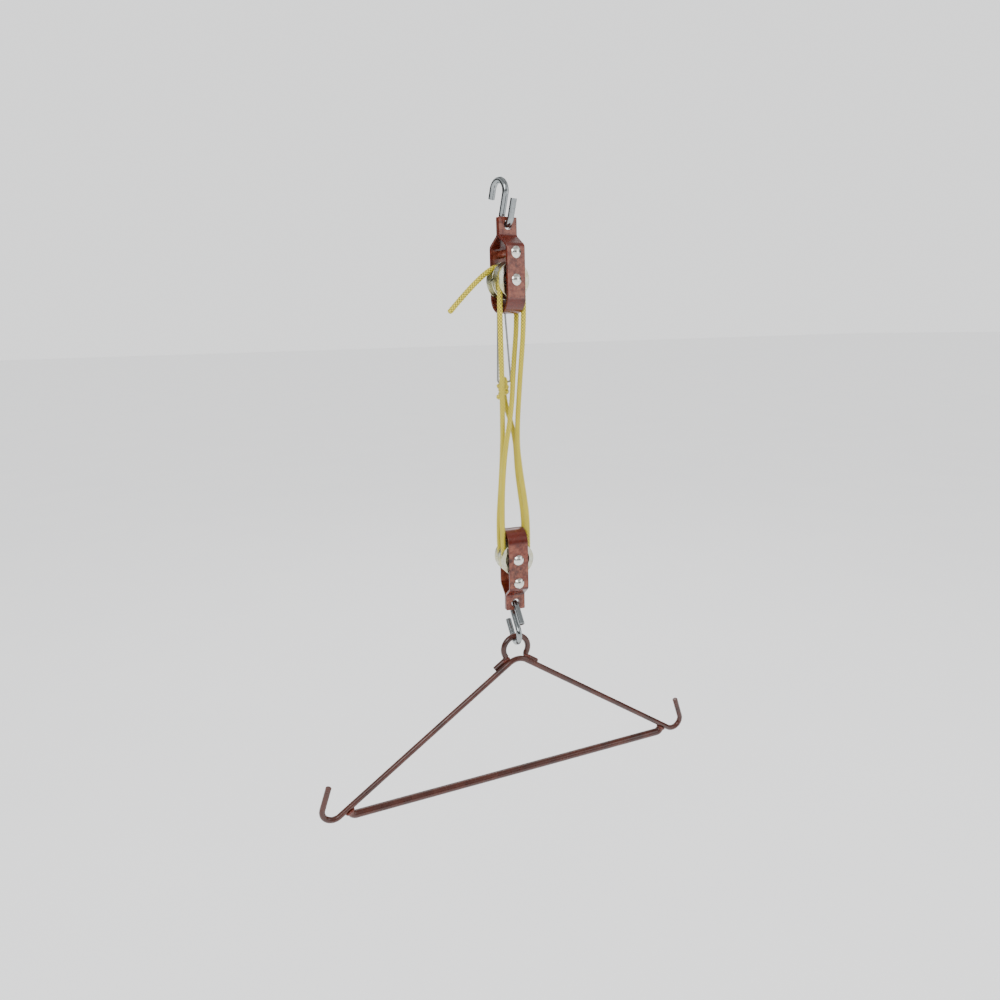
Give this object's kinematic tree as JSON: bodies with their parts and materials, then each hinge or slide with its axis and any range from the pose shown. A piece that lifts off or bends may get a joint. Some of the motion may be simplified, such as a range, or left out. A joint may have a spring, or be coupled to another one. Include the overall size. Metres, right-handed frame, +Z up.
{
  "type": "rope block and tackle hoist",
  "caption": "Hanging rope hoist: hook, two strap blocks with paired sheaves, a crossed rope, and a triangular spreader with an open hook at each end.",
  "frame": {"origin": "seat inside the crest of the upper S-hook's large loop, where the hoist hangs from the ceiling", "axes": "+Z up, +X along the gambrel to its right end, -Y towards the front of the blocks"},
  "size_m": [0.5645, 0.0624, 0.8035],
  "materials": {
    "strap_paint": "gloss",
    "gambrel_paint": "semi-gloss",
    "weld_paint": "semi-gloss",
    "hook_zinc": "bright zinc",
    "rivet_zinc": "bright zinc",
    "sheave_zinc": "bright zinc",
    "wire_zinc": "zinc",
    "plain_steel": "plain",
    "bush_bronze": "satin",
    "rope_yarn": "braided"
  },
  "bodies": {
    "hanging_hook": {"upper_s_hook": "hook_zinc"},
    "upper_block": {"upper_block_strap": "strap_paint", "upper_axle_rivet": "rivet_zinc", "upper_spacer_rivet": "rivet_zinc", "upper_spacer_tube": "strap_paint", "upper_sheave_washers": "plain_steel", "becket_link": "wire_zinc", "becket_knot": "rope_yarn", "rope_hauling_part": "rope_yarn", "rope_turn_upper_rear": "rope_yarn", "rope_turn_upper_front": "rope_yarn", "rope_strand_1": "rope_yarn", "rope_strand_2": "rope_yarn", "rope_strand_3": "rope_yarn", "rope_strand_4": "rope_yarn"},
    "upper_front_wheel": {"upper_front_sheave": "sheave_zinc", "upper_front_bush": "bush_bronze"},
    "upper_rear_wheel": {"upper_rear_sheave": "sheave_zinc", "upper_rear_bush": "bush_bronze"},
    "lower_block": {"lower_block_strap": "strap_paint", "lower_axle_rivet": "rivet_zinc", "lower_spacer_rivet": "rivet_zinc", "lower_spacer_tube": "strap_paint", "lower_sheave_washers": "plain_steel", "rope_turn_lower_front": "rope_yarn", "rope_turn_lower_rear": "rope_yarn"},
    "lower_front_wheel": {"lower_front_sheave": "sheave_zinc", "lower_front_bush": "bush_bronze"},
    "lower_rear_wheel": {"lower_rear_sheave": "sheave_zinc", "lower_rear_bush": "bush_bronze"},
    "load_hook": {"lower_s_hook": "hook_zinc"},
    "gambrel": {"gambrel_frame_rod": "gambrel_paint", "gambrel_eye": "gambrel_paint", "gambrel_cross_bar": "gambrel_paint", "gambrel_eye_welds": "weld_paint", "gambrel_bar_welds": "weld_paint"}
  },
  "joints": [
    {"name": "block_swing", "type": "hinge", "parent": "hanging_hook", "child": "upper_block", "pos_m": [0.00377, -0.01407, -0.0494], "axis": [-0.2588, 0.9659, 0], "range_deg": [-20, 20]},
    {"name": "lift", "type": "slide", "parent": "upper_block", "child": "lower_block", "axis": [0, 0, 1], "range_m": [0, 0.15], "deforming": ["rope_strand_1", "rope_strand_2", "rope_strand_3", "rope_strand_4"]},
    {"name": "upper_front_spin", "type": "hinge", "parent": "upper_block", "child": "upper_front_wheel", "pos_m": [0.00377, -0.01407, -0.11493], "axis": [-0.2588, 0.9659, 0], "range_deg": [-10, 1080]},
    {"name": "upper_rear_spin", "type": "hinge", "parent": "upper_block", "child": "upper_rear_wheel", "pos_m": [0.00377, -0.01407, -0.11493], "axis": [-0.2588, 0.9659, 0], "range_deg": [-2140, 10]},
    {"name": "lower_front_spin", "type": "hinge", "parent": "lower_block", "child": "lower_front_wheel", "pos_m": [0.00377, -0.01407, -0.47093], "axis": [0, 1, 0], "range_deg": [-10, 1610]},
    {"name": "lower_rear_spin", "type": "hinge", "parent": "lower_block", "child": "lower_rear_wheel", "pos_m": [0.00377, -0.01407, -0.47093], "axis": [0, 1, 0], "range_deg": [-10, 545]},
    {"name": "load_hook_swing", "type": "hinge", "parent": "lower_block", "child": "load_hook", "pos_m": [0.00377, -0.01407, -0.54596], "axis": [1, 0, 0], "range_deg": [-20, 20]},
    {"name": "gambrel_rock", "type": "hinge", "parent": "load_hook", "child": "gambrel", "pos_m": [0.00377, -0.01407, -0.59319], "axis": [-0.0698, 0.9976, 0], "range_deg": [-20, 20]}
  ],
  "couplings": [
    {"joint": "lower_rear_spin", "follows": "lift", "rad_per_m": 58.14},
    {"joint": "upper_front_spin", "follows": "lift", "rad_per_m": 116.28},
    {"joint": "lower_front_spin", "follows": "lift", "rad_per_m": 174.42},
    {"joint": "upper_rear_spin", "follows": "lift", "rad_per_m": -232.56}
  ]
}
